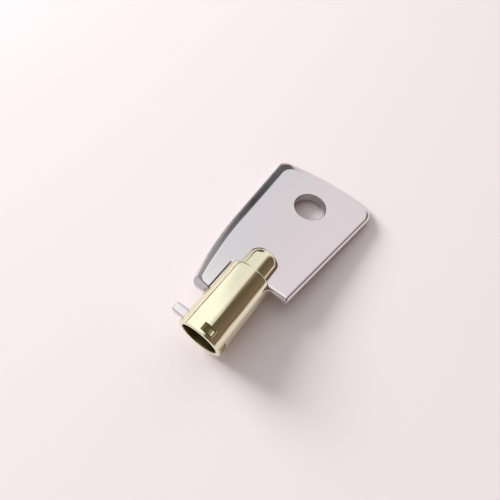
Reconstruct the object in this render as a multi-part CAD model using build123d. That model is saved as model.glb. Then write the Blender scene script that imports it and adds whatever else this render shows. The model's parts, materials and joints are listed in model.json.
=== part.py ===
from build123d import *
import math
import os

# Tubular key of a selector key switch: a brass barrel, a flat steel head and a steel drive lug.
#
# The pieces are drawn in the key's own frame, in millimetres: Y runs along the barrel's axis from its
# open mouth (y = 0) to the head, X lies across the head, and Z is the head's upward normal.
# All three are then laid down together, so that the key rests on z = 0 as it does on a table, with its
# mouth raised and its head sloping down to the far edge. The origin is the middle of the footprint.

# ---- driving dimensions ----
BARREL_RADIUS = 4.75
BORE_RADIUS = 3.81
BARREL_LENGTH = 15.6
BORE_DEPTH = 12.4
DRILL_POINT_ANGLE = 118.0
RIM_CHAMFER = 0.12
SHOULDER_ROUND = 0.45

NECK_RADIUS = 3.55
NECK_LENGTH = 6.3
NECK_DOME_ROUND = 2.4

HEAD_THICKNESS = 2.2
HEAD_LENGTH = 47.5            # from the mouth's plane to the far edge
FAR_EDGE_RADIUS = 67.7
RIGHT_FOOT_X = 8.8            # the right side's near end, a sharp corner
FOOT_Y = 15.25                # the foot stands a little past the barrel's shoulder
RIGHT_TOP_X = 13.1            # where the right side would meet the far edge
LEFT_TOP_X = -12.65
LEFT_WAIST_X = -11.6          # the left side is straight above its waist and curves in below
LEFT_WAIST_Y = 26.0
FAR_LEFT_ROUND = 1.8
FAR_RIGHT_ROUND = 4.0

FINGER_TIP_Y = 7.45
FINGER_TIP_X = -8.3           # where the left curve would meet the finger's tip
FINGER_OUTER_ROUND = 1.7
SIDE_GAP = 0.1                # clearance between the barrel's side and the finger or the foot
SOFT_EDGE_RUN = 1.6           # the head's upper edge slopes off over this width
SOFT_EDGE_DROP = 0.8
UNDER_EDGE_ROUND = 0.35

TONGUE_HALF_WIDTH = 2.4
TONGUE_DEPTH = 2.1            # how far the tongue enters the barrel past the shoulder

RING_HOLE_X = 0.5
RING_HOLE_Y = 37.45
RING_HOLE_RADIUS = 3.55
RING_HOLE_ROUND = 0.2

DIMPLE_ANGLES = (72.0, 3.0)   # about the axis, from +X towards +Z
DIMPLE_Y = 1.35
DIMPLE_WIDTH = 2.2            # around the barrel
DIMPLE_LENGTH = 1.5           # along the barrel
DIMPLE_DEPTH = 0.5
DIMPLE_TAPER = 20.0
NIB_WIDTH = 1.7
NIB_LENGTH = 1.0
NIB_HEIGHT = 0.5              # how far the nib stands into the bore

LUG_WIDTH = 1.9               # along the barrel
LUG_HEIGHT = 1.9
LUG_Y = 2.05
LUG_REACH = 7.5               # from the barrel's axis to the lug's end
LUG_ROOT = 3.85
LUG_END_ROUND = 0.55
LUG_EDGE_ROUND = 0.3

# ---- values worked out from them ----
HALF_THICKNESS = HEAD_THICKNESS / 2
NECK_END = BARREL_LENGTH + NECK_LENGTH
FINGER_INNER_X = -(BARREL_RADIUS + SIDE_GAP)
FOOT_INNER_X = BARREL_RADIUS + SIDE_GAP
# The key rests on the barrel's shoulder and on the underside of the head's far edge.
SHOULDER_CONTACT_Y = BARREL_LENGTH - SHOULDER_ROUND
HEAD_CONTACT_Y = HEAD_LENGTH - UNDER_EDGE_ROUND
REST_PITCH = math.degrees(
    math.atan((BARREL_RADIUS - HALF_THICKNESS) / (HEAD_CONTACT_Y - SHOULDER_CONTACT_Y))
)


def far_edge_y(x):
    """The gently convex far edge, an arc whose top is on the barrel's axis."""
    return HEAD_LENGTH - FAR_EDGE_RADIUS + math.sqrt(FAR_EDGE_RADIUS**2 - x**2)


def placed_box(width_x, width_y, width_z, centre):
    """A box placed by its centre."""
    return Pos(*centre) * Box(width_x, width_y, width_z)


def barrel_blank():
    """The turned barrel with its shoulder, domed neck and drilled blind bore."""
    shoulder_centre = (BARREL_RADIUS - SHOULDER_ROUND, BARREL_LENGTH - SHOULDER_ROUND)
    dome_centre = (NECK_RADIUS - NECK_DOME_ROUND, NECK_END - NECK_DOME_ROUND)
    drill_tip = BORE_DEPTH + BORE_RADIUS / math.tan(math.radians(DRILL_POINT_ANGLE / 2))
    with BuildSketch(Plane.XY) as half_section:
        with BuildLine():
            Line((0, drill_tip), (BORE_RADIUS, BORE_DEPTH))
            Line((BORE_RADIUS, BORE_DEPTH), (BORE_RADIUS, RIM_CHAMFER))
            Line((BORE_RADIUS, RIM_CHAMFER), (BORE_RADIUS + RIM_CHAMFER, 0))
            Line((BORE_RADIUS + RIM_CHAMFER, 0), (BARREL_RADIUS - RIM_CHAMFER, 0))
            Line((BARREL_RADIUS - RIM_CHAMFER, 0), (BARREL_RADIUS, RIM_CHAMFER))
            Line((BARREL_RADIUS, RIM_CHAMFER), (BARREL_RADIUS, shoulder_centre[1]))
            CenterArc(shoulder_centre, SHOULDER_ROUND, 0, 90)
            Line((shoulder_centre[0], BARREL_LENGTH), (NECK_RADIUS, BARREL_LENGTH))
            Line((NECK_RADIUS, BARREL_LENGTH), (NECK_RADIUS, dome_centre[1]))
            CenterArc(dome_centre, NECK_DOME_ROUND, 0, 90)
            Line((dome_centre[0], NECK_END), (0, NECK_END))
            Line((0, NECK_END), (0, drill_tip))
        make_face()
    return revolve(half_section.sketch, Axis.Y)


def dimple(angle):
    """The tapered pocket pressed into the wall from outside, at its angle about the axis."""
    mouth = Rectangle(DIMPLE_LENGTH, DIMPLE_WIDTH)
    pocket = extrude(mouth, DIMPLE_DEPTH, taper=DIMPLE_TAPER) + extrude(mouth, -DIMPLE_DEPTH)
    facing_the_axis = Rot(0, -90, 0) * Rot(0, 0, 90)
    return Rot(0, -angle, 0) * Pos(BARREL_RADIUS, DIMPLE_Y, 0) * facing_the_axis * pocket


def nib(angle):
    """The metal that the dimple pushes through the wall into the bore."""
    tip = BORE_RADIUS - NIB_HEIGHT
    root = (BORE_RADIUS + BARREL_RADIUS - DIMPLE_DEPTH) / 2
    block = placed_box(root - tip, NIB_LENGTH, NIB_WIDTH, ((root + tip) / 2, DIMPLE_Y, 0))
    return Rot(0, -angle, 0) * block


def lug_slot():
    """The window in the barrel's left wall that holds the lug."""
    wall_middle = (BORE_RADIUS + BARREL_RADIUS) / 2
    return placed_box(BORE_RADIUS, LUG_WIDTH, LUG_HEIGHT, (-wall_middle, LUG_Y, 0))


def tongue():
    """The block at the head's near end that fills a slot of the same size in the barrel's web."""
    return placed_box(2 * TONGUE_HALF_WIDTH, 2 * TONGUE_DEPTH, HEAD_THICKNESS, (0, BARREL_LENGTH, 0))


def make_barrel():
    barrel = barrel_blank()
    for angle in DIMPLE_ANGLES:
        barrel = barrel + nib(angle)
    for angle in DIMPLE_ANGLES:
        barrel = barrel - dimple(angle)
    # the head's blade passes between two cheeks of the neck, and its tongue enters the web below
    blade_slot = placed_box(3 * NECK_RADIUS, 2 * NECK_LENGTH, HEAD_THICKNESS, (0, NECK_END, 0))
    return barrel - blade_slot - tongue() - lug_slot()


def is_far_left_corner(vertex):
    return math.isclose(vertex.X, LEFT_TOP_X, abs_tol=0.01) and vertex.Y > LEFT_WAIST_Y


def head_outline():
    """The blade's plan: far edge, straight right side, sharp foot, finger and curving left side."""
    far_left = (LEFT_TOP_X, far_edge_y(LEFT_TOP_X))
    far_right = (RIGHT_TOP_X, far_edge_y(RIGHT_TOP_X))
    waist = (LEFT_WAIST_X, LEFT_WAIST_Y)
    finger_tip = (FINGER_TIP_X, FINGER_TIP_Y)
    with BuildSketch(Plane.XY) as plan:
        with BuildLine():
            ThreePointArc(far_left, (0, HEAD_LENGTH), far_right)
            Line(far_right, (RIGHT_FOOT_X, FOOT_Y))
            Line((RIGHT_FOOT_X, FOOT_Y), (FOOT_INNER_X, FOOT_Y))
            Line((FOOT_INNER_X, FOOT_Y), (FOOT_INNER_X, BARREL_LENGTH))
            Line((FOOT_INNER_X, BARREL_LENGTH), (FINGER_INNER_X, BARREL_LENGTH))
            Line((FINGER_INNER_X, BARREL_LENGTH), (FINGER_INNER_X, FINGER_TIP_Y))
            Line((FINGER_INNER_X, FINGER_TIP_Y), finger_tip)
            left_side = Line(far_left, waist)
            TangentArc(waist, finger_tip, tangent=left_side % 1)
        make_face()
        fillet(plan.vertices().sort_by(Axis.Y)[-2:].sort_by(Axis.X)[-1], FAR_RIGHT_ROUND)
        fillet(plan.vertices().filter_by(is_far_left_corner)[0], FAR_LEFT_ROUND)
        finger_corners = plan.vertices().sort_by(Axis.Y)[:2].sort_by(Axis.X)
        fillet(finger_corners[0], FINGER_OUTER_ROUND)
    return plan.sketch


def is_outer_edge(edge):
    """False for the straight edges that face the barrel: the finger's, the shoulder's and the foot's."""
    middle = edge.center()
    beside_barrel = math.isclose(middle.X, FINGER_INNER_X, abs_tol=0.01)
    below_shoulder = middle.X > FINGER_INNER_X and FOOT_Y - 0.01 < middle.Y < BARREL_LENGTH + 0.01
    return not (beside_barrel or below_shoulder)


def make_head():
    """The stamped head: soft upper edges, the ring hole and the tongue that enters the barrel."""
    blade = extrude(Pos(0, 0, -HALF_THICKNESS) * head_outline(), HEAD_THICKNESS)
    top = blade.faces().sort_by(Axis.Z)[-1]
    outer_edges = [edge for edge in top.edges() if is_outer_edge(edge)]
    blade = blade.chamfer(SOFT_EDGE_RUN, SOFT_EDGE_DROP, outer_edges, top)
    underside = blade.faces().sort_by(Axis.Z)[0]
    blade = fillet([edge for edge in underside.edges() if is_outer_edge(edge)], UNDER_EDGE_ROUND)

    hole = Pos(RING_HOLE_X, RING_HOLE_Y, 0) * Cylinder(RING_HOLE_RADIUS, 2 * HEAD_THICKNESS)
    blade = blade - hole
    rims = [edge for edge in blade.edges().filter_by(GeomType.CIRCLE) if is_ring_hole_rim(edge)]
    blade = fillet(rims, RING_HOLE_ROUND)
    return blade + tongue()


def is_ring_hole_rim(edge):
    return math.isclose(edge.radius, RING_HOLE_RADIUS, abs_tol=0.01)


def make_lug():
    """A block set in the barrel's wall, rounded at its free end and along its free edges."""
    middle = -(LUG_REACH + LUG_ROOT) / 2
    block = placed_box(LUG_REACH - LUG_ROOT, LUG_WIDTH, LUG_HEIGHT, (middle, LUG_Y, 0))
    upright_edges = block.edges().filter_by(Axis.Z).sort_by(Axis.X)[:2]
    block = fillet(upright_edges, LUG_END_ROUND)
    end_face = block.faces().sort_by(Axis.X)[0]
    return fillet(end_face.edges().filter_by(Axis.Y), LUG_EDGE_ROUND)


def lay_down(pieces):
    """Turns all the pieces together from the key's own frame to the way the key lies on z = 0."""
    tilted = {name: Rot(-REST_PITCH, 0, 0) * piece for name, piece in pieces.items()}
    around = Compound(list(tilted.values())).bounding_box()
    middle = around.center()
    to_footprint = Pos(-middle.X, -middle.Y, -around.min.Z)
    return {name: to_footprint * piece for name, piece in tilted.items()}


def main():
    os.makedirs("parts", exist_ok=True)
    pieces = {"barrel": make_barrel(), "head": make_head(), "drive_lug": make_lug()}
    for name, piece in lay_down(pieces).items():
        export_step(piece, f"parts/{name}.step")


main()
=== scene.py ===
import json
import math

import bmesh
import bpy
import numpy as np
from mathutils import Matrix, Vector


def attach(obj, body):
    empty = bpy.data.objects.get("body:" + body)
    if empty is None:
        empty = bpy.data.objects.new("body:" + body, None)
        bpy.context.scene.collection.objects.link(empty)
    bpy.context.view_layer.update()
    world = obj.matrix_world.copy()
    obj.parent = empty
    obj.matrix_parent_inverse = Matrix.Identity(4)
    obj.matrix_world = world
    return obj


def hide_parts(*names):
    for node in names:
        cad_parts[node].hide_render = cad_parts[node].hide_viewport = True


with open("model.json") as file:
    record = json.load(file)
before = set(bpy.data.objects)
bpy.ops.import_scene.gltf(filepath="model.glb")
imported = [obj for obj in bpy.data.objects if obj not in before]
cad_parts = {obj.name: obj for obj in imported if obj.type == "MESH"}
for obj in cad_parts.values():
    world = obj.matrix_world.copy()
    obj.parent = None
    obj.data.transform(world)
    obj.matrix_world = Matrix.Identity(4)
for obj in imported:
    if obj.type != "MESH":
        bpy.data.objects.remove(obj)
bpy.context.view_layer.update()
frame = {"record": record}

# A tubular key lying on a pale floor. The pieces are drawn in the key's own frame, in millimetres:
# Y runs along the barrel from its open mouth to the head, X lies across the head, and Z is the head's
# upward normal. KEY turns that frame into the row's, in metres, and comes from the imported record.
MM = 0.001
TOLERANCE = 0.01                   # for telling places apart, in millimetres
SHARP_ANGLE = 35.0                 # edges that turn by more than these degrees are shaded sharp

# ---- barrel ----
BARREL_RADIUS = 4.75
BORE_RADIUS = 3.81
BARREL_LENGTH = 15.6
BORE_DEPTH = 12.4
BORE_TIP = 14.65                   # the drilled end's deepest point
RIM_ROUND = 0.14
SHOULDER_ROUND = 0.42
NECK_RADIUS = 3.55
NECK_END = 21.9
NECK_DOME_ROUND = 2.4
AXIS_GAP = 0.02                    # the profile stops this far from the axis, and a small face closes it
TURNS = 512                        # divisions round the barrel
RIM_POINTS, SHOULDER_POINTS, DOME_POINTS = 6, 12, 24       # points along each round

# ---- pressed dimples ----
DIMPLE_ANGLES = (72.0, 3.0)        # about the axis, from +X towards +Z
DIMPLE_Y = 1.35
DIMPLE_HALF = (1.27, 0.75)         # half its size around and along the barrel
DIMPLE_CORNER = 0.12
DIMPLE_GROOVE = 0.34               # depth of the sheared groove round it
DIMPLE_GROOVE_WIDTH = 0.26
GROOVE_WALL = 0.3                  # the share of its width in which the groove reaches its depth
GROOVE_RISE_START = 0.4            # the share from which its floor rises again
GROOVE_RISE = 0.7                  # and how much of its depth it rises by
DIMPLE_DISH = 0.27                 # how much deeper its dished floor is in the middle
NIB_HEIGHT = 0.4                   # how far the wall bulges into the bore behind it
NIB_SLOPE = 0.5                    # over what width the bulge rises
DIMPLE_ZONE = 2.6                  # the dimples end before this y, and the rings are close together up to it

# ---- head ----
HALF_THICKNESS = 1.1
HEAD_LENGTH = 47.5
FAR_EDGE_RADIUS = 67.7
SIDES_TOP_Y = 46.3                 # the y of the two top x values below
RIGHT_FOOT_X = 8.78
RIGHT_TOP_X = 13.05
LEFT_TOP_X = -12.6
LEFT_WAIST = (-11.55, 26.0)        # the left side is straight above its waist and curves in below
FOOT_Y = 15.27
FINGER_TIP_Y = 7.47
FINGER_TIP_X = -8.25
FINGER_INNER_X = -4.8
RING_HOLE = (0.5, 37.45)
RING_HOLE_RADIUS = 3.55
RING_HOLE_ROUND = 0.22
RING_HOLE_LIP = 0.05               # flat ring between the hole's round and the flat top
RING_HOLE_TURNS = 160              # divisions round it
RING_HOLE_ROUND_POINTS = 8

# How wide the soft edge is, at places evenly spaced along each side. The sides go anticlockwise as seen
# from above.
FAR_WIDTHS = (2.0, 2.5)
LEFT_WIDTHS = (2.55, 2.55, 2.5, 2.2, 1.5)
TIP_WIDTHS = (1.45, 1.45)
FINGER_WIDTHS = (0.2, 0.2)
FOOT_WIDTHS = (0.9, 0.9)
RIGHT_WIDTHS = (1.15, 1.15)
CORNER_ROUNDS = (1.8, 1.75, 0.75, 0.12, 0.3, 4.05)        # after each side in turn, where widest
CORNER_ROUNDS_INSIDE = (2.6, 1.3, 0.6, 0.12, 0.25, 2.6)   # and where the flat top ends
SIDE_POINTS = 60                                          # points that give a straight or round side
SIDE_STEPS = (120, 160, 24, 30, 60, 120)                  # and points of the outline on each side in turn
CORNER_STEPS = 18                                         # and in each corner

# (tilt at its start, tilt at its end, length): the surface from the flat top outwards to the upright wall.
# The tilts are in degrees, and the whole section is then squeezed or stretched to the edge's width.
BEVELLED_EDGE = ((0, 25, 0.12), (25, 25, 1.08), (25, 38, 0.10), (38, 38, 0.45), (38, 90, 0.76))
CROWNED_EDGE = ((0, 9, 0.6), (9, 28, 0.155), (28, 48, 0.155), (52, 52, 0.45), (56, 90, 0.36))
EDGE_STEPS = (4, 6, 4, 6, 10)
UNDER_STEPS = 8
BEVELLED, CROWNED = 0.0, 1.0
BEVELLED_WALL = (-0.65, 0.45)      # z where the wall ends, and the inward reach of the round under it
CROWNED_WALL = (-0.35, 0.6)

# ---- drive lug ----
LUG_WIDTH = 1.9
LUG_Y = 2.05
LUG_REACH = 7.48
LUG_ROOT = 3.9
LUG_END_ROUND, LUG_END_STEPS = 0.55, 8
LUG_EDGE_ROUND, LUG_EDGE_STEPS = 0.3, 5


def key_placement():
    """The key frame's place in the row, from the mount at the barrel's mouth."""
    mount = next(m for m in frame["record"]["mounts"] if m["name"] == "lock_end")
    along_key = -Vector(mount["axis"]).normalized()
    across = Vector((1, 0, 0))
    turn = Matrix((across, along_key, across.cross(along_key))).transposed().to_4x4()
    return Matrix.Translation(mount["pos_m"]) @ turn @ Matrix.Scale(MM, 4)


KEY = key_placement()


# ---------------------------------------------------------------- mesh helpers

def add_piece(name, bm, material, replaces):
    """A bmesh in key millimetres becomes a piece that rides on the key's one body."""
    bmesh.ops.recalc_face_normals(bm, faces=bm.faces)
    mesh = bpy.data.meshes.new(name)
    bm.to_mesh(mesh)
    bm.free()
    mesh.transform(KEY)
    mesh.materials.append(material)
    piece = bpy.data.objects.new(name, mesh)
    bpy.context.collection.objects.link(piece)
    mesh.polygons.foreach_set("use_smooth", [True] * len(mesh.polygons))
    mesh.set_sharp_from_angle(angle=math.radians(SHARP_ANGLE))
    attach(piece, "root")
    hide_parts(replaces)


def arc_points(centre, radius, start, end, count):
    """Points of an arc, from the start angle to the end angle in degrees."""
    angles = np.radians(np.linspace(start, end, count))
    return [(centre[0] + radius * math.cos(a), centre[1] + radius * math.sin(a)) for a in angles]


def line_points(start, end, step):
    """Points of a straight run, about a step apart, without its last point."""
    start, end = np.array(start, float), np.array(end, float)
    count = max(1, int(math.ceil(np.linalg.norm(end - start) / step)))
    return [tuple(start + (end - start) * i / count) for i in range(count)]


def join_rings(bm, upper, lower):
    """A band of faces between two closed rings with as many vertices."""
    for j in range(len(upper)):
        k = (j + 1) % len(upper)
        bm.faces.new((upper[j], upper[k], lower[k], lower[j]))


def bearing(vector):
    """The angle of a vector in the plane, in radians."""
    return math.atan2(vector[1], vector[0])


# ---------------------------------------------------------------- barrel

def barrel_profile():
    """(radius, y) from the bore's tip, out over the rim, along the outside and over the dome."""
    rim_inner = (BORE_RADIUS + RIM_ROUND, RIM_ROUND)
    rim_outer = (BARREL_RADIUS - RIM_ROUND, RIM_ROUND)
    shoulder = (BARREL_RADIUS - SHOULDER_ROUND, BARREL_LENGTH - SHOULDER_ROUND)
    dome = (NECK_RADIUS - NECK_DOME_ROUND, NECK_END - NECK_DOME_ROUND)
    fine, medium, along_neck, coarse = 0.06, 0.3, 0.4, 0.8       # steps
    after_shoulder, after_dome = shoulder[0] - 0.1, dome[0] - 0.05       # a little past each round
    points = line_points((AXIS_GAP, BORE_TIP), (BORE_RADIUS, BORE_DEPTH), coarse)
    points += line_points((BORE_RADIUS, BORE_DEPTH), (BORE_RADIUS, DIMPLE_ZONE), coarse)
    points += line_points((BORE_RADIUS, DIMPLE_ZONE), (BORE_RADIUS, RIM_ROUND), fine)
    points += arc_points(rim_inner, RIM_ROUND, 180, 270, RIM_POINTS)
    points += arc_points(rim_outer, RIM_ROUND, 270, 360, RIM_POINTS)
    points += line_points((BARREL_RADIUS, RIM_ROUND + fine), (BARREL_RADIUS, DIMPLE_ZONE), fine)
    points += line_points((BARREL_RADIUS, DIMPLE_ZONE), (BARREL_RADIUS, shoulder[1]), coarse)
    points += arc_points(shoulder, SHOULDER_ROUND, 0, 90, SHOULDER_POINTS)
    points += line_points((after_shoulder, BARREL_LENGTH), (NECK_RADIUS, BARREL_LENGTH), medium)
    points += line_points((NECK_RADIUS, BARREL_LENGTH), (NECK_RADIUS, dome[1]), along_neck)
    points += arc_points(dome, NECK_DOME_ROUND, 0, 90, DOME_POINTS)
    points += line_points((after_dome, NECK_END), (AXIS_GAP, NECK_END), medium)
    points += [(AXIS_GAP, NECK_END)]
    return np.array(points)


def smooth_step(x):
    """0 before 0 and 1 past 1, smooth at both ends."""
    x = np.clip(x, 0.0, 1.0)
    return x * x * (3 - 2 * x)


def dimple_depth(angle, y, inside_wall):
    """How far the pressed dimples push the wall inwards, at points given by angle and y: a sheared outline
    and a dished floor on the outside, and a smooth nib on the inside."""
    depth = np.zeros(np.broadcast(angle, y).shape)
    for centre in DIMPLE_ANGLES:
        around = np.abs((angle - centre + 180.0) % 360.0 - 180.0) * math.radians(1) * BARREL_RADIUS
        over_x = around - (DIMPLE_HALF[0] - DIMPLE_CORNER)
        over_y = np.abs(y - DIMPLE_Y) - (DIMPLE_HALF[1] - DIMPLE_CORNER)
        outside = np.hypot(np.maximum(over_x, 0), np.maximum(over_y, 0)) - DIMPLE_CORNER
        outside = outside + np.minimum(np.maximum(over_x, over_y), 0)
        inside = np.clip(-outside / DIMPLE_GROOVE_WIDTH, 0, 1)
        rise = GROOVE_RISE * smooth_step((inside - GROOVE_RISE_START) / (1 - GROOVE_RISE_START))
        groove = DIMPLE_GROOVE * np.clip(inside / GROOVE_WALL, 0, 1) * (1 - rise)
        dish = DIMPLE_DISH * (1.0 - np.clip(around / DIMPLE_HALF[0], 0, 1) ** 2)
        nib = NIB_HEIGHT * smooth_step(-outside / NIB_SLOPE)
        depth = np.maximum(depth, np.where(inside_wall, nib, groove + dish * smooth_step(inside)))
    return depth


def barrel_mesh():
    """The turned profile swept round the axis, with its wall pushed in at the dimples."""
    profile = barrel_profile()
    angles = np.arange(TURNS) * 360.0 / TURNS
    radius, y = profile[:, :1], profile[:, 1:]
    inside_wall = radius < (BORE_RADIUS + BARREL_RADIUS) / 2
    dimpled = (radius > BORE_RADIUS - TOLERANCE) & (y < DIMPLE_ZONE)
    radius = radius - np.where(dimpled, dimple_depth(angles[None, :], y, inside_wall), 0.0)
    across, up = np.cos(np.radians(angles)), np.sin(np.radians(angles))
    bm = bmesh.new()
    rings = []
    for ring_radius, ring_y in zip(radius, y[:, 0]):
        places = zip(ring_radius * across, ring_radius * up)
        rings.append([bm.verts.new((x, ring_y, z)) for x, z in places])
    for lower, upper in zip(rings, rings[1:]):
        join_rings(bm, lower, upper)
    bm.faces.new(rings[0])
    bm.faces.new(rings[-1])
    return bm


# ---------------------------------------------------------------- head

class Side:
    """One smooth side of the head's outline: points, inward normals and how wide its soft edge is."""

    def __init__(self, points, widths, crowned):
        self.points = np.array(points, float)
        tangent = np.gradient(self.points, axis=0)
        tangent /= np.linalg.norm(tangent, axis=1)[:, None]
        self.inward = np.stack([-tangent[:, 1], tangent[:, 0]], axis=1)
        steps = np.linalg.norm(np.diff(self.points, axis=0), axis=1)
        share = np.concatenate([[0], np.cumsum(steps)]) / steps.sum()
        self.widths = np.interp(share, np.linspace(0, 1, len(widths)), widths)
        self.crowned = crowned

    def inset(self, share):
        """The side moved inwards by a share of its edge's width."""
        return self.points + self.inward * (self.widths * share)[:, None]


def straight_side(start, end):
    """A straight side, run on past both ends so that it can meet its neighbours when inset."""
    overrun = 4.0
    start, end = np.array(start, float), np.array(end, float)
    way = (end - start) / np.linalg.norm(end - start)
    return list(np.linspace(start - way * overrun, end + way * overrun, SIDE_POINTS))


def far_side():
    """The gently convex far edge, run on past both corners."""
    centre_y = HEAD_LENGTH - FAR_EDGE_RADIUS
    half_width = 16.0
    half = math.degrees(math.asin(half_width / FAR_EDGE_RADIUS))
    return arc_points((0, centre_y), FAR_EDGE_RADIUS, 90 - half, 90 + half, SIDE_POINTS)


def left_side():
    """Straight down to the waist, then a tangent arc to the finger's tip and a little beyond."""
    straight_length, beyond_tip = 24.0, 3.0
    waist, tip = np.array(LEFT_WAIST), np.array((FINGER_TIP_X, FINGER_TIP_Y))
    way = waist - np.array((LEFT_TOP_X, SIDES_TOP_Y))
    way /= np.linalg.norm(way)
    inward = np.array((-way[1], way[0]))
    chord = tip - waist
    radius = chord.dot(chord) / (2 * chord.dot(inward))
    centre = waist + inward * radius
    start = math.degrees(bearing(waist - centre)) % 360
    end = math.degrees(bearing(tip - centre)) % 360
    overrun = math.degrees(beyond_tip / radius)
    line = [waist - way * d for d in np.linspace(straight_length, 0.0, SIDE_POINTS)[:-1]]
    return line + arc_points(centre, radius, start, end + overrun, SIDE_POINTS)


def head_sides():
    """The outline's sides in order, anticlockwise as seen from above."""
    tip, finger_inner = (FINGER_TIP_X, FINGER_TIP_Y), (FINGER_INNER_X, FINGER_TIP_Y)
    inner_corner, foot = (FINGER_INNER_X, FOOT_Y), (RIGHT_FOOT_X, FOOT_Y)
    right_top = (RIGHT_TOP_X, SIDES_TOP_Y)
    return [
        Side(far_side(), FAR_WIDTHS, BEVELLED),
        Side(left_side(), LEFT_WIDTHS, BEVELLED),
        Side(straight_side(tip, finger_inner), TIP_WIDTHS, BEVELLED),
        Side(straight_side(finger_inner, inner_corner), FINGER_WIDTHS, CROWNED),
        Side(straight_side(inner_corner, foot), FOOT_WIDTHS, CROWNED),
        Side(straight_side(foot, right_top), RIGHT_WIDTHS, CROWNED),
    ]


def crossing(first, second):
    """The last place where two polylines cross: as an index and share on each, and as a point."""
    parallel = 1e-12
    found = None
    for i in range(len(first) - 1):
        start, run = first[i], first[i + 1] - first[i]
        runs = second[1:] - second[:-1]
        cross = run[0] * runs[:, 1] - run[1] * runs[:, 0]
        cross = np.where(np.abs(cross) < parallel, parallel, cross)
        gap = second[:-1] - start
        t = (gap[:, 0] * runs[:, 1] - gap[:, 1] * runs[:, 0]) / cross
        u = (gap[:, 0] * run[1] - gap[:, 1] * run[0]) / cross
        for j in np.nonzero((t >= 0) & (t <= 1) & (u >= 0) & (u <= 1))[0]:
            found = (i + t[j], j + u[j], start + t[j] * run)
    return found


def along(points, place):
    """The point at a place of a polyline, which is an index and a share of the next step."""
    i = min(int(place), len(points) - 2)
    return points[i] + (points[i + 1] - points[i]) * (place - i)


def walk(points, place, distance):
    """The place that lies a distance along a polyline from another place."""
    steps = np.linalg.norm(np.diff(points, axis=0), axis=1)
    lengths = np.concatenate([[0], np.cumsum(steps)])
    here = np.interp(place, np.arange(len(points)), lengths)
    return float(np.interp(here + distance, lengths, np.arange(len(points))))


def rounded_corner(first, second, rounding):
    """Where a corner's round starts on one polyline, where it ends on the next, and the sharp corner."""
    out_place, in_place, corner = crossing(first, second)
    arriving = first[int(out_place) + 1] - first[int(out_place)]
    leaving = second[int(in_place) + 1] - second[int(in_place)]
    turn = math.atan2(arriving[0] * leaving[1] - arriving[1] * leaving[0], arriving.dot(leaving))
    reach = rounding * math.tan(abs(turn) / 2)
    return walk(first, out_place, -reach), walk(second, in_place, reach), corner


def corner_arc_point(before, beyond, corner, t):
    """A point of the arc that rounds a corner, tangent to both sides."""
    middle = (before + beyond) / 2
    half_chord = np.linalg.norm(beyond - before) / 2
    smallest = 1e-9                # for a corner so straight that its arc has no depth
    depth = max(np.linalg.norm(middle - corner), smallest)
    reach = (np.linalg.norm(before - corner) + np.linalg.norm(beyond - corner)) / 2
    radius = reach * half_chord / depth
    centre = corner + (middle - corner) * (1 + (half_chord / depth) ** 2)
    start = bearing(before - centre)
    sweep = (bearing(beyond - centre) - start + math.pi) % (2 * math.pi) - math.pi
    angle = start + sweep * t
    return centre + radius * np.array((math.cos(angle), math.sin(angle)))


def outline(sides, share):
    """The head's outline inset by a share of each side's edge width, and how crowned the edge is there.
    Its points are always as many."""
    insets = [side.inset(share) for side in sides]
    following = insets[1:] + insets[:1]
    corners = []
    for first, second, outer, inner in zip(insets, following, CORNER_ROUNDS, CORNER_ROUNDS_INSIDE):
        corners.append(rounded_corner(first, second, outer + (inner - outer) * share))
    points, crowned = [], []
    for i, side in enumerate(sides):
        after = (i + 1) % len(sides)
        start = corners[i - 1][1]
        stop, leave, corner = corners[i]
        for place in np.linspace(start, stop, SIDE_STEPS[i]):
            points.append(along(insets[i], place))
            crowned.append(side.crowned)
        before, beyond = along(insets[i], stop), along(insets[after], leave)
        for t in np.linspace(0, 1, CORNER_STEPS + 2)[1:-1]:
            points.append(corner_arc_point(before, beyond, corner, t))
            crowned.append(side.crowned * (1 - t) + sides[after].crowned * t)
    return np.array(points), np.array(crowned)


def edge_section(pieces, wall):
    """(share of the edge width inwards, inset in mm, z) down an edge, its wall and its rounded under edge."""
    wall_z, under = wall
    section = [(0.0, HALF_THICKNESS)]
    for (tilt, end, length), steps in zip(pieces, EDGE_STEPS):
        for i in range(steps):
            a = math.radians(tilt + (end - tilt) * (i + 0.5) / steps)
            out, z = section[-1]
            section.append((out + math.cos(a) * length / steps, z - math.sin(a) * length / steps))
    width = section[-1][0]
    section = [(1 - out / width, 0.0, z) for out, z in section]
    section.append((0.0, 0.0, wall_z))
    for a in np.linspace(0, math.pi / 2, UNDER_STEPS + 1)[1:]:
        z = wall_z - (wall_z + HALF_THICKNESS) * math.sin(a)
        section.append((0.0, under * (1 - math.cos(a)), z))
    return section


def inset_by(points, distance):
    """A closed outline moved inwards by a distance."""
    ahead = np.roll(points, -1, axis=0) - np.roll(points, 1, axis=0)
    ahead /= np.linalg.norm(ahead, axis=1)[:, None]
    return points + np.stack([-ahead[:, 1], ahead[:, 0]], axis=1) * distance


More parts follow.
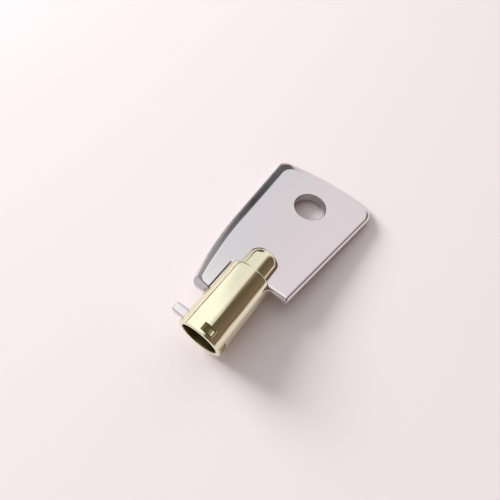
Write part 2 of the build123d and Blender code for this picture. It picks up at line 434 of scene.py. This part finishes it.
def head_mesh():
    """The stamped head: its edge in rings from the flat top to the flat underside, and the ring hole."""
    sides = head_sides()
    bevelled = edge_section(BEVELLED_EDGE, BEVELLED_WALL)
    crowned = edge_section(CROWNED_EDGE, CROWNED_WALL)
    bm = bmesh.new()
    rings = []
    for (share_b, inset_b, z_b), (share_c, inset_c, z_c) in zip(bevelled, crowned):
        points_b, blend = outline(sides, share_b)
        points_c, blend = outline(sides, share_c)
        plan_b, plan_c = inset_by(points_b, inset_b), inset_by(points_c, inset_c)
        plan = plan_b * (1 - blend[:, None]) + plan_c * blend[:, None]
        heights = z_b * (1 - blend) + z_c * blend
        rings.append([bm.verts.new((x, y, z)) for (x, y), z in zip(plan, heights)])
    for upper, lower in zip(rings, rings[1:]):
        join_rings(bm, upper, lower)
    hole_rings = ring_hole_rings(bm)
    for outer, inner in ((rings[0], hole_rings[0]), (rings[-1], hole_rings[-1])):
        edges = ring_edges(bm, outer) + ring_edges(bm, inner)
        bmesh.ops.triangle_fill(bm, use_beauty=True, use_dissolve=False, edges=edges)
    return bm


def ring_edges(bm, ring):
    """The edges round a closed ring of vertices."""
    return [bm.edges.get(pair) for pair in zip(ring, ring[1:] + ring[:1])]


def ring_hole_rings(bm):
    """The ring hole's wall with its rounded rims, as rings from the top face to the under face."""
    section = [(RING_HOLE_RADIUS + RING_HOLE_ROUND + RING_HOLE_LIP, HALF_THICKNESS)]
    for a in np.linspace(0, math.pi / 2, RING_HOLE_ROUND_POINTS):
        section.append((RING_HOLE_RADIUS + RING_HOLE_ROUND * (1 - math.sin(a)),
                        HALF_THICKNESS - RING_HOLE_ROUND * (1 - math.cos(a))))
    section += [(r, -z) for r, z in reversed(section)]
    rings = []
    for radius, z in section:
        circle = arc_points(RING_HOLE, radius, 0, 360, RING_HOLE_TURNS + 1)[:-1]
        rings.append([bm.verts.new((x, y, z)) for x, y in circle])
    for upper, lower in zip(rings, rings[1:]):
        join_rings(bm, upper, lower)
    return rings


# ---------------------------------------------------------------- drive lug

def lug_mesh():
    """A block with its free end rounded in plan and all its free edges softened."""
    bm = bmesh.new()
    half = LUG_WIDTH / 2
    middle = Matrix.Translation((-(LUG_REACH + LUG_ROOT) / 2, LUG_Y, 0))
    size = Matrix.Diagonal((LUG_REACH - LUG_ROOT, LUG_WIDTH, LUG_WIDTH, 1))
    bmesh.ops.create_cube(bm, size=1.0, matrix=middle @ size)
    ends = [e for e in bm.edges if is_upright(e, half) and all(at_free_end(v) for v in e.verts)]
    bmesh.ops.bevel(bm, geom=ends, offset=LUG_END_ROUND, segments=LUG_END_STEPS, profile=0.5,
                    affect="EDGES", clamp_overlap=True)
    rim = [e for e in bm.edges if is_free_rim(e, half)]
    bmesh.ops.bevel(bm, geom=rim, offset=LUG_EDGE_ROUND, segments=LUG_EDGE_STEPS, profile=0.5,
                    affect="EDGES", clamp_overlap=True)
    return bm


def is_upright(edge, half):
    """True for an edge that runs from the lug's bottom to its top."""
    return abs(edge.verts[0].co.z - edge.verts[1].co.z) > half


def at_free_end(vertex):
    """True for the vertices of the lug's free end."""
    return vertex.co.x < -LUG_REACH + TOLERANCE


def is_free_rim(edge, half):
    """True for the edges of the lug's top or bottom face, apart from the two at its root."""
    level = all(abs(abs(v.co.z) - half) < TOLERANCE for v in edge.verts) and not is_upright(edge, half)
    at_root = all(v.co.x > -LUG_ROOT - TOLERANCE for v in edge.verts)
    return level and not at_root


# ---------------------------------------------------------------- nodes

class Graph:
    """The nodes of a material or of the world. Each method adds what it needs and returns its output."""

    def __init__(self, tree):
        self.nodes, self.links = tree.nodes, tree.links

    def key_coordinates(self, stretch=(1, 1, 1)):
        """Object coordinates turned to the key's frame, in millimetres, and stretched."""
        where = self.nodes.new("ShaderNodeTexCoord")
        to_key = KEY.inverted()
        mapping = self.nodes.new("ShaderNodeMapping")
        mapping.inputs["Location"].default_value = to_key.translation
        mapping.inputs["Rotation"].default_value = to_key.to_euler()
        mapping.inputs["Scale"].default_value = to_key.to_scale()
        self.links.new(where.outputs["Object"], mapping.inputs["Vector"])
        stretched = self.nodes.new("ShaderNodeMapping")
        stretched.inputs["Scale"].default_value = stretch
        self.links.new(mapping.outputs["Vector"], stretched.inputs["Vector"])
        return stretched.outputs["Vector"]

    def split(self, vector):
        """The X, Y and Z of a vector."""
        parts = self.nodes.new("ShaderNodeSeparateXYZ")
        self.links.new(vector, parts.inputs["Vector"])
        return parts.outputs["X"], parts.outputs["Y"], parts.outputs["Z"]

    def distance_from(self, centre, across):
        """Distance in millimetres from a line of the key frame. across is 1 in the two directions normal to
        the line and 0 along it."""
        mapping = self.nodes.new("ShaderNodeMapping")
        mapping.inputs["Location"].default_value = [-c * a for c, a in zip(centre, across)]
        mapping.inputs["Scale"].default_value = across
        self.links.new(self.key_coordinates(), mapping.inputs["Vector"])
        length = self.nodes.new("ShaderNodeVectorMath")
        length.operation = "LENGTH"
        self.links.new(mapping.outputs["Vector"], length.inputs[0])
        return length.outputs["Value"]

    def noise(self, stretch, scale, detail):
        """Noise over the stretched key coordinates."""
        texture = self.nodes.new("ShaderNodeTexNoise")
        texture.inputs["Scale"].default_value = scale
        texture.inputs["Detail"].default_value = detail
        self.links.new(self.key_coordinates(stretch), texture.inputs["Vector"])
        return texture.outputs["Fac"]

    def spread(self, value, given, wanted):
        """A value mapped from one range to another, and held at its ends."""
        ramp = self.nodes.new("ShaderNodeMapRange")
        ramp.inputs["From Min"].default_value, ramp.inputs["From Max"].default_value = given
        ramp.inputs["To Min"].default_value, ramp.inputs["To Max"].default_value = wanted
        self.links.new(value, ramp.inputs["Value"])
        return ramp.outputs["Result"]

    def rise(self, value, over):
        """0 before a range and 1 beyond it."""
        return self.spread(value, over, (0.0, 1.0))

    def fall(self, value, over):
        """1 before a range and 0 beyond it."""
        return self.spread(value, over, (1.0, 0.0))

    def ease(self, value, over):
        """0 before a range and 1 beyond it, smooth at both ends."""
        eased = self.rise(value, over)
        eased.node.interpolation_type = "SMOOTHSTEP"
        return eased

    def blend(self, factor, first, second):
        """A mix of two colours, each a node output or a plain colour."""
        mix = self.nodes.new("ShaderNodeMix")
        mix.data_type = "RGBA"
        for socket, colour in (("A", first), ("B", second)):
            if isinstance(colour, tuple):
                mix.inputs[socket].default_value = (*colour, 1)
            else:
                self.links.new(colour, mix.inputs[socket])
        self.links.new(factor, mix.inputs["Factor"])
        return mix.outputs["Result"]

    def arithmetic(self, operation, first, second):
        """A sum, product, difference or maximum of two outputs."""
        node = self.nodes.new("ShaderNodeMath")
        node.operation = operation
        self.links.new(first, node.inputs[0])
        self.links.new(second, node.inputs[1])
        return node.outputs[0]

    def product(self, *factors):
        """Two or more outputs multiplied together."""
        result = factors[0]
        for factor in factors[1:]:
            result = self.arithmetic("MULTIPLY", result, factor)
        return result

    def bump(self, height, strength, distance, shader):
        """Small relief on a shader's surface, with its distance in millimetres."""
        node = self.nodes.new("ShaderNodeBump")
        node.inputs["Strength"].default_value = strength
        node.inputs["Distance"].default_value = distance * MM
        self.links.new(height, node.inputs["Height"])
        self.links.new(node.outputs["Normal"], shader.inputs["Normal"])


# ---------------------------------------------------------------- materials

# Noises as (stretch of the key coordinates, scale, detail).
BRASS_RINGS = ((0.25, 14.0, 0.25), 1.0, 4)
BRASS_STREAKS = ((1.5, 0.04, 1.5), 1.0, 3)
BRASS_STAINS = ((1, 0.35, 1), 0.35, 5)
NICKEL_GRAIN = ((1, 1, 1), 1.6, 4)
NICKEL_DRIFT = ((1, 0.4, 1), 0.12, 3)
NOISE_MIDDLE = (0.3, 0.7)          # the part of a noise's range that its gloss follows

BRASS_PALE, BRASS_WARM = (0.915, 0.895, 0.69), (0.86, 0.83, 0.60)
BRASS_GLOSS = (0.07, 0.13)
BRASS_RELIEF = (0.8, 0.05)         # strength and distance
BRASS_RING_HEIGHT = 0.01           # of the rings, against the streaks
# Painted shade: a dark colour in the recesses of the drilled bore and of the pressed dimples, whose surface
# is also rougher.
PAINTED_SHADE_BRASS, WORKED_ROUGHNESS = (0.34, 0.29, 0.14), 0.34
BORE_WALL = (3.86, 3.96)           # radius over which the drilled surface and its painted shade end, and y where they end
BORE_END = (BORE_DEPTH + 1.0, BORE_DEPTH + 1.5)
SHEARED_WALL = (4.41, 4.5)         # radius over which the painted shade in the dimples' sheared outline ends
SHEARED_NEAR, SHEARED_FAR = (0.32, 0.42), (3.0, 3.1)

NICKEL_PALE, NICKEL_COOL = (0.79, 0.745, 0.765), (0.755, 0.72, 0.74)
NICKEL_GLOSS = (0.16, 0.20)
NICKEL_RELIEF = (0.01, 0.01)
# Painted shade on the ring hole's wall, which is also rougher: its darker colour, its roughness, and the
# radius over which they end.
SHADED_PUNCHED_NICKEL, PUNCHED_ROUGHNESS = (0.60, 0.57, 0.57), 0.36
PUNCHED_WALL = (RING_HOLE_RADIUS + 0.02, RING_HOLE_RADIUS + 0.1)

# A painted dark reflection on the left bevel: the ranges of x, y and z over which it starts or ends.
PAINTED_REFLECTION_NICKEL = (0.17, 0.157, 0.163)
PAINTED_REFLECTION_RIGHT = (-4.95, -4.9)
PAINTED_REFLECTION_TOP, PAINTED_REFLECTION_BOTTOM = (1.0, 1.04), (0.55, 0.62)
PAINTED_REFLECTION_FAR = (31.0, 43.0)
PAINTED_REFLECTION_NEAR, PAINTED_REFLECTION_NEAR_STRENGTH = (FINGER_TIP_Y + 1.2, FINGER_TIP_Y + 1.6), (0.0, 0.82)
PAINTED_REFLECTION_GAIN_Y, PAINTED_REFLECTION_GAIN = (12.0, 22.0), (1.0, 1.22)         # it grows stronger along the finger
PAINTED_LINE_TOP, PAINTED_LINE_BOTTOM = (1.06, 1.09), (0.93, 0.97)     # at the tip it is only a thin painted dark line, high on the bevel
PAINTED_LINE_FAR, PAINTED_LINE_FAR_STRENGTH = (FINGER_TIP_Y + 1.6, FINGER_TIP_Y + 2.2), (0.7, 0.0)
PAINTED_LINE_NEAR = (FINGER_TIP_Y - 1.0, FINGER_TIP_Y - 0.5)


def metal(name, build):
    """A metallic material whose colour, roughness and relief come from the nodes of a build function."""
    material = bpy.data.materials.new(name)
    material.use_nodes = True
    shader = material.node_tree.nodes["Principled BSDF"]
    shader.inputs["Metallic"].default_value = 1.0
    build(Graph(material.node_tree), shader)
    return material


def set_roughness(graph, shader, noise, gloss, worked_and_shaded, worked_roughness):
    """A gloss that varies with a noise, and a rougher area under a mask."""
    varied = graph.spread(noise, NOISE_MIDDLE, gloss)
    rough = graph.spread(worked_and_shaded, (0.0, 1.0), (0.0, worked_roughness))
    graph.links.new(graph.arithmetic("MAXIMUM", varied, rough), shader.inputs["Roughness"])


def brass_nodes(graph, shader):
    """Turned and polished brass: fine rings round the axis, faint streaks along it, faint stains, and painted
    shade on a rougher surface in the drilled bore and in the sheared outline of the dimples."""
    rings, streaks = graph.noise(*BRASS_RINGS), graph.noise(*BRASS_STREAKS)
    _, y, _ = graph.split(graph.key_coordinates())
    radius = graph.distance_from((0, 0, 0), (1, 0, 1))
    bore = graph.product(graph.fall(radius, BORE_WALL), graph.fall(y, BORE_END))
    sheared = graph.product(graph.rise(y, SHEARED_NEAR), graph.fall(y, SHEARED_FAR),
                            graph.fall(radius, SHEARED_WALL))
    worked_and_shaded = graph.arithmetic("MAXIMUM", bore, sheared)
    polished = graph.blend(graph.noise(*BRASS_STAINS), BRASS_PALE, BRASS_WARM)
    graph.links.new(graph.blend(worked_and_shaded, polished, PAINTED_SHADE_BRASS), shader.inputs["Base Color"])
    set_roughness(graph, shader, rings, BRASS_GLOSS, worked_and_shaded, WORKED_ROUGHNESS)
    faint_rings = graph.spread(rings, (0.0, 1.0), (0.0, BRASS_RING_HEIGHT))
    graph.bump(graph.arithmetic("ADD", streaks, faint_rings), *BRASS_RELIEF, shader)


def painted_reflection_strip(graph):
    """How strong the painted dark reflection is: along the left bevel as far as the finger's tip, where it is
    a thin line.
    """
    x, y, z = graph.split(graph.key_coordinates())
    bevel = graph.product(graph.fall(z, PAINTED_REFLECTION_TOP), graph.rise(z, PAINTED_REFLECTION_BOTTOM))
    lengthwise = graph.product(graph.fall(y, PAINTED_REFLECTION_FAR), graph.spread(y, PAINTED_REFLECTION_NEAR, PAINTED_REFLECTION_NEAR_STRENGTH),
                               graph.spread(y, PAINTED_REFLECTION_GAIN_Y, PAINTED_REFLECTION_GAIN))
    painted_line = graph.product(graph.rise(z, PAINTED_LINE_BOTTOM), graph.fall(z, PAINTED_LINE_TOP))
    near_tip = graph.product(graph.spread(y, PAINTED_LINE_FAR, PAINTED_LINE_FAR_STRENGTH), graph.rise(y, PAINTED_LINE_NEAR))
    painted_reflection = graph.arithmetic("MAXIMUM", graph.product(bevel, lengthwise), graph.product(painted_line, near_tip))
    return graph.product(graph.fall(x, PAINTED_REFLECTION_RIGHT), painted_reflection)


def plating_nodes(graph, shader):
    """Bright nickel over stamped steel: a fine grain, softly varied gloss, a painted dark reflection along
    the left bevel and painted shade on the rougher wall of the ring hole."""
    grain = graph.noise(*NICKEL_GRAIN)
    punched_and_shaded = graph.fall(graph.distance_from((*RING_HOLE, 0), (1, 1, 0)), PUNCHED_WALL)
    bright = graph.blend(graph.noise(*NICKEL_DRIFT), NICKEL_PALE, NICKEL_COOL)
    bright = graph.blend(painted_reflection_strip(graph), bright, PAINTED_REFLECTION_NICKEL)
    graph.links.new(graph.blend(punched_and_shaded, bright, SHADED_PUNCHED_NICKEL), shader.inputs["Base Color"])
    set_roughness(graph, shader, grain, NICKEL_GLOSS, punched_and_shaded, PUNCHED_ROUGHNESS)
    graph.bump(grain, *NICKEL_RELIEF, shader)


BRASS = metal("polished_brass", brass_nodes)
PLATING = metal("nickel_plating", plating_nodes)


# ---------------------------------------------------------------- pieces

add_piece("turned_barrel", barrel_mesh(), BRASS, "barrel")
add_piece("stamped_head", head_mesh(), PLATING, "head")
add_piece("lug_block", lug_mesh(), PLATING, "drive_lug")


# ---------------------------------------------------------------- floor, light and camera

FLOOR_HALF = 3.0
FLOOR_COLOUR = (0.90, 0.82, 0.845)
FLOOR_ROUGHNESS = 0.7
FLOOR_SPECULAR = 0.2

SOFTBOX_DIRECTION = (-0.88, 0.03, 0.465)
SOFTBOX_DISTANCE = 0.9
SOFTBOX_RADIUS = 0.2
SOFTBOX_ENERGY = 8.4
SOFTBOX_COLOUR = (1.0, 0.99, 0.98)

SKY_BACKDROP = (0.80, 0.74, 0.755)      # what the camera sees behind the floor, but nothing reflects
SKY_WINDOW = (1.14, 1.14, 1.13)
SKY_NEAR = (0.64, 0.63, 0.62)
SKY_FAR_LEFT = (0.85, 0.85, 0.855)
SKY_FAR = (0.93, 0.86, 0.875)
SKY_LOW = (0.14, 0.13, 0.125)
SKY_RIGHT = (0.135, 0.100, 0.064)
SKY_FAR_RIGHT = (0.20, 0.135, 0.105)
SKY_CORNER = (0.10, 0.10, 0.105)
SKY_HORIZON = (0.31, 0.30, 0.27)

# The components of a sky direction over which one part of the sky turns into the next.
WINDOW_Y = (-0.1, 0.15)
HORIZON_Z = (0.07, 0.20)
FAR_Y = (0.37, 0.47)
FAR_RIGHT_PART_X = (-0.28, -0.10)
LOW_X = (-0.26, -0.18)
LOW_Y, LOW_TOP = (0.20, 0.08), (0.05, 0.48)        # the height of its top, by Y
CORNER_X = (-0.22, -0.40)
CORNER_Y, CORNER_TOP = (0.42, 0.61), (0.10, 0.52)
PATCH_SOFTNESS = (-0.03, 0.06)
ROOM_X = (0.07, 0.42)
ROOM_END_X = (0.60, 0.90)

CAMERA_AZIMUTH = 36.07
CAMERA_ELEVATION = 64.33
CAMERA_ROLL = 0.35
CAMERA_FROM_MOUTH = (14.68, -11.88, 61.7)      # key millimetres
LENS = 25.13
SENSOR_WIDTH = 36.0
NEAREST = 0.001


def make_floor():
    """A plain matt floor under the key."""
    far = FLOOR_HALF
    mesh = bpy.data.meshes.new("floor")
    corners = [(-far, -far, 0), (far, -far, 0), (far, far, 0), (-far, far, 0)]
    mesh.from_pydata(corners, [], [(0, 1, 2, 3)])
    floor = bpy.data.objects.new("floor", mesh)
    bpy.context.collection.objects.link(floor)
    material = bpy.data.materials.new("floor")
    material.use_nodes = True
    shader = material.node_tree.nodes["Principled BSDF"]
    shader.inputs["Base Color"].default_value = (*FLOOR_COLOUR, 1)
    shader.inputs["Roughness"].default_value = FLOOR_ROUGHNESS
    shader.inputs["Specular IOR Level"].default_value = FLOOR_SPECULAR
    mesh.materials.append(material)


def make_softbox():
    """The key light: a round softbox low on the left, which isn't seen in the metal."""
    direction = Vector(SOFTBOX_DIRECTION).normalized()
    data = bpy.data.lights.new("softbox", "AREA")
    data.shape = "DISK"
    data.size = 2 * SOFTBOX_RADIUS
    data.energy = SOFTBOX_ENERGY
    data.color = SOFTBOX_COLOUR
    softbox = bpy.data.objects.new("softbox", data)
    bpy.context.collection.objects.link(softbox)
    softbox.location = direction * SOFTBOX_DISTANCE
    softbox.rotation_mode = "QUATERNION"
    softbox.rotation_quaternion = direction.to_track_quat("Z", "Y")
    softbox.visible_glossy = False


def dark_patch(graph, y, z, over_y, top, sideways):
    """A patch of the sky below a top that changes with Y, where a sideways fade is on."""
    below = graph.arithmetic("SUBTRACT", graph.spread(y, over_y, top), z)
    return graph.product(graph.rise(below, PATCH_SOFTNESS), sideways)


def make_world():
    """A bright window over the left, a softer far sky, a dim room on the right, a dark far-left corner and
    a dark low patch between them."""
    world = bpy.data.worlds.new("studio")
    bpy.context.scene.world = world
    world.use_nodes = True
    graph = Graph(world.node_tree)
    x, y, z = graph.split(graph.nodes.new("ShaderNodeTexCoord").outputs["Generated"])
    corner = dark_patch(graph, y, z, CORNER_Y, CORNER_TOP, graph.ease(x, CORNER_X))
    low = dark_patch(graph, y, z, LOW_Y, LOW_TOP, graph.ease(x, LOW_X))
    far_sky = graph.blend(graph.ease(x, FAR_RIGHT_PART_X), SKY_FAR_LEFT, SKY_FAR)
    room = graph.blend(graph.ease(x, ROOM_END_X), SKY_RIGHT, SKY_FAR_RIGHT)
    sky = graph.blend(graph.ease(y, WINDOW_Y), SKY_NEAR, SKY_WINDOW)
    sky = graph.blend(graph.ease(z, HORIZON_Z), SKY_HORIZON, sky)
    sky = graph.blend(low, sky, SKY_LOW)
    sky = graph.blend(graph.ease(y, FAR_Y), sky, far_sky)
    sky = graph.blend(corner, sky, SKY_CORNER)
    sky = graph.blend(graph.ease(x, ROOM_X), sky, room)
    seen = graph.nodes.new("ShaderNodeLightPath").outputs["Is Camera Ray"]
    background = graph.nodes["Background"].inputs["Color"]
    graph.links.new(graph.blend(seen, sky, SKY_BACKDROP), background)


def make_camera():
    """The camera, high over the barrel's mouth and looking down at the key."""
    camera_data = bpy.data.cameras.new("camera")
    camera = bpy.data.objects.new("camera", camera_data)
    bpy.context.collection.objects.link(camera)
    camera_data.lens = LENS
    camera_data.sensor_width = SENSOR_WIDTH
    camera_data.clip_start = NEAREST
    camera.location = KEY @ Vector(CAMERA_FROM_MOUTH)
    azimuth, elevation = math.radians(CAMERA_AZIMUTH), math.radians(CAMERA_ELEVATION)
    level = math.cos(elevation)
    back = Vector((math.sin(azimuth) * level, -math.cos(azimuth) * level, math.sin(elevation)))
    camera.rotation_mode = "QUATERNION"
    roll = Matrix.Rotation(math.radians(CAMERA_ROLL), 3, "Z").to_quaternion()
    camera.rotation_quaternion = (-back).to_track_quat("-Z", "Y") @ roll
    bpy.context.scene.camera = camera


make_floor()
make_softbox()
make_world()
make_camera()
bpy.context.scene.view_settings.view_transform = "Standard"
